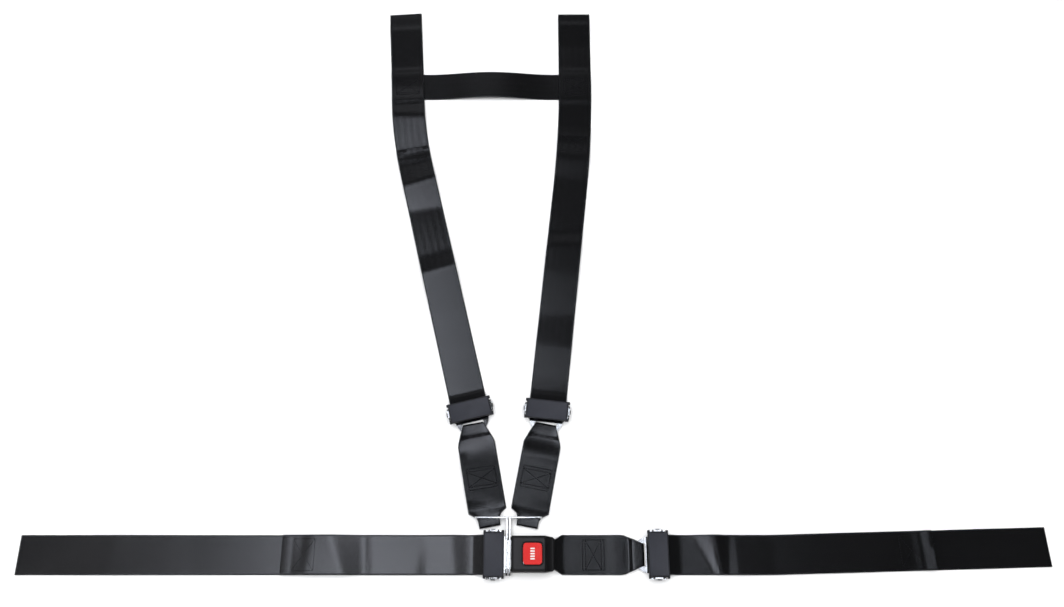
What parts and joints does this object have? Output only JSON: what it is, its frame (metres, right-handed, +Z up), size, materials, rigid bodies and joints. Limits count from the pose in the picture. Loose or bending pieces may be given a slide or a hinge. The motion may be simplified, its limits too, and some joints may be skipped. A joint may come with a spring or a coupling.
{
  "type": "racing harness",
  "caption": "Four-point harness of wide webbing laid out flat: lap belt with push-button buckle, sliding-bar adjusters and shoulder straps joined by a cross strap.",
  "frame": {"origin": "centre of the laid-out harness's bounding box, on the surface that it lies on", "axes": "+X along the lap belt from the tongue's side to the buckle's side, +Y towards the tops of the shoulder straps, +Z up from the surface"},
  "size_m": [1.3497, 0.8828, 0.0218],
  "materials": {
    "webbing": "satin woven",
    "thread": "matt thread",
    "chrome": "polished",
    "steel": "satin",
    "grip": "fine grained",
    "housing": "satin",
    "button": "gloss"
  },
  "bodies": {
    "tongue": {"tongue_frame": "chrome", "left_lap_strap_loop": "webbing", "left_link": "chrome", "right_link": "chrome", "left_connector_loop": "webbing", "right_connector_loop": "webbing"},
    "left_lap_grip": {"left_lap_grip": "grip", "left_lap_bar": "steel"},
    "left_lap_strap": {"left_lap_strap": "webbing"},
    "shoulder_adjusters": {"left_connector": "webbing", "right_connector": "webbing", "left_connector_stitching": "thread", "right_connector_stitching": "thread", "left_shoulder_frame": "chrome", "right_shoulder_frame": "chrome", "left_shoulder_strap_loop": "webbing", "right_shoulder_strap_loop": "webbing"},
    "left_shoulder_grip": {"left_shoulder_grip": "grip", "left_shoulder_bar": "steel"},
    "right_shoulder_grip": {"right_shoulder_grip": "grip", "right_shoulder_bar": "steel"},
    "shoulder_straps": {"left_shoulder_strap": "webbing", "right_shoulder_strap": "webbing", "cross_strap": "webbing"},
    "buckle": {"buckle_top_cover": "housing", "buckle_bottom_cover": "housing", "buckle_frame": "steel", "buckle_latch": "steel", "buckle_rivets": "steel", "buckle_screws": "steel", "buckle_ejector_spring": "steel", "lap_connector_loop": "webbing"},
    "button": {"buckle_button": "button"},
    "ejector": {"buckle_ejector": "housing"},
    "right_lap_adjuster": {"lap_connector": "webbing", "lap_connector_stitching": "thread", "right_lap_frame": "chrome", "right_lap_strap_loop": "webbing"},
    "right_lap_grip": {"right_lap_grip": "grip", "right_lap_bar": "steel"},
    "right_lap_strap": {"right_lap_strap": "webbing"}
  },
  "joints": [
    {"name": "buckle_release", "type": "slide", "parent": "tongue", "child": "buckle", "axis": [1, 0, 0], "range_m": [0, 0.06]},
    {"name": "button_press", "type": "slide", "parent": "buckle", "child": "button", "axis": [0, 0, -1], "range_m": [0, 0.0035], "stiffness_N_per_m": 900, "springref_m": -0.0015, "deforming": ["buckle_latch"]},
    {"name": "ejector_slide", "type": "slide", "parent": "buckle", "child": "ejector", "axis": [-1, 0, 0], "range_m": [0, 0.006], "deforming": ["buckle_ejector_spring"]},
    {"name": "lap_connector_fold", "type": "hinge", "parent": "buckle", "child": "right_lap_adjuster", "pos_m": [0.044, -0.408, 0.0029], "axis": [0, -1, 0], "range_deg": [0, 45]},
    {"name": "right_lap_grip_slide", "type": "slide", "parent": "right_lap_adjuster", "child": "right_lap_grip", "axis": [-1, 0, 0], "range_m": [0, 0.002]},
    {"name": "right_lap_fold", "type": "hinge", "parent": "right_lap_adjuster", "child": "right_lap_strap", "pos_m": [0.196, -0.408, 0.0029], "axis": [0, -1, 0], "range_deg": [0, 45]},
    {"name": "left_lap_grip_slide", "type": "slide", "parent": "tongue", "child": "left_lap_grip", "axis": [1, 0, 0], "range_m": [0, 0.002]},
    {"name": "left_lap_fold", "type": "hinge", "parent": "tongue", "child": "left_lap_strap", "pos_m": [-0.0862, -0.408, 0.0029], "axis": [0, 1, 0], "range_deg": [0, 70]},
    {"name": "shoulder_connector_fold", "type": "hinge", "parent": "tongue", "child": "shoulder_adjusters", "pos_m": [-0.033, -0.34, 0.0029], "axis": [1, 0, 0], "range_deg": [0, 70]},
    {"name": "left_shoulder_grip_slide", "type": "slide", "parent": "shoulder_adjusters", "child": "left_shoulder_grip", "axis": [0.2334, -0.9724, 0], "range_m": [0, 0.002]},
    {"name": "right_shoulder_grip_slide", "type": "slide", "parent": "shoulder_adjusters", "child": "right_shoulder_grip", "axis": [-0.1063, -0.9943, 0], "range_m": [0, 0.002]},
    {"name": "shoulder_strap_fold", "type": "hinge", "parent": "shoulder_adjusters", "child": "shoulder_straps", "pos_m": [-0.033, -0.177, 0.0029], "axis": [1, 0, 0], "range_deg": [0, 60]}
  ],
  "couplings": [
    {"joint": "ejector_slide", "follows": "buckle_release", "ratio": 0.1}
  ]
}
